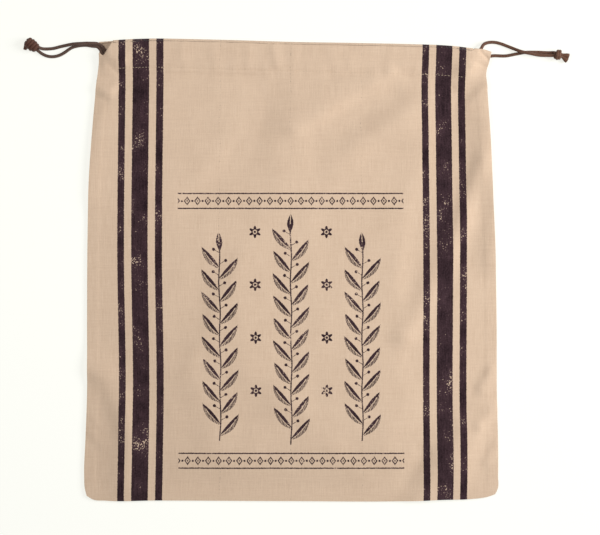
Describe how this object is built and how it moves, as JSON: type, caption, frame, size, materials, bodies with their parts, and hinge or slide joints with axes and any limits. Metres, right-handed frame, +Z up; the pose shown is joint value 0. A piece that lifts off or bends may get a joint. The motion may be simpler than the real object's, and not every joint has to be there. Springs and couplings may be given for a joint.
{
  "type": "linen bread bag",
  "caption": "Empty linen drawstring bread bag lying flat, with turned-down casings, dark stripes and knotted cords at the corners of its mouth.",
  "frame": {"origin": "on the surface that the bag lies on, under the middle of the flat bag", "axes": "+Y runs up the bag from its closed bottom to its mouth, +X to the right seen from above, +Z up out of its face"},
  "size_m": [0.4758, 0.4036, 0.0089],
  "materials": {
    "linen": "plain-woven natural linen with dark stripes printed down both sides",
    "cord": "brown round cotton cord"
  },
  "bodies": {
    "root": {"front_panel": "linen", "back_panel": "linen", "left_drawcord": "cord", "right_drawcord": "cord", "left_knot": "cord", "right_knot": "cord"}
  },
  "joints": []
}
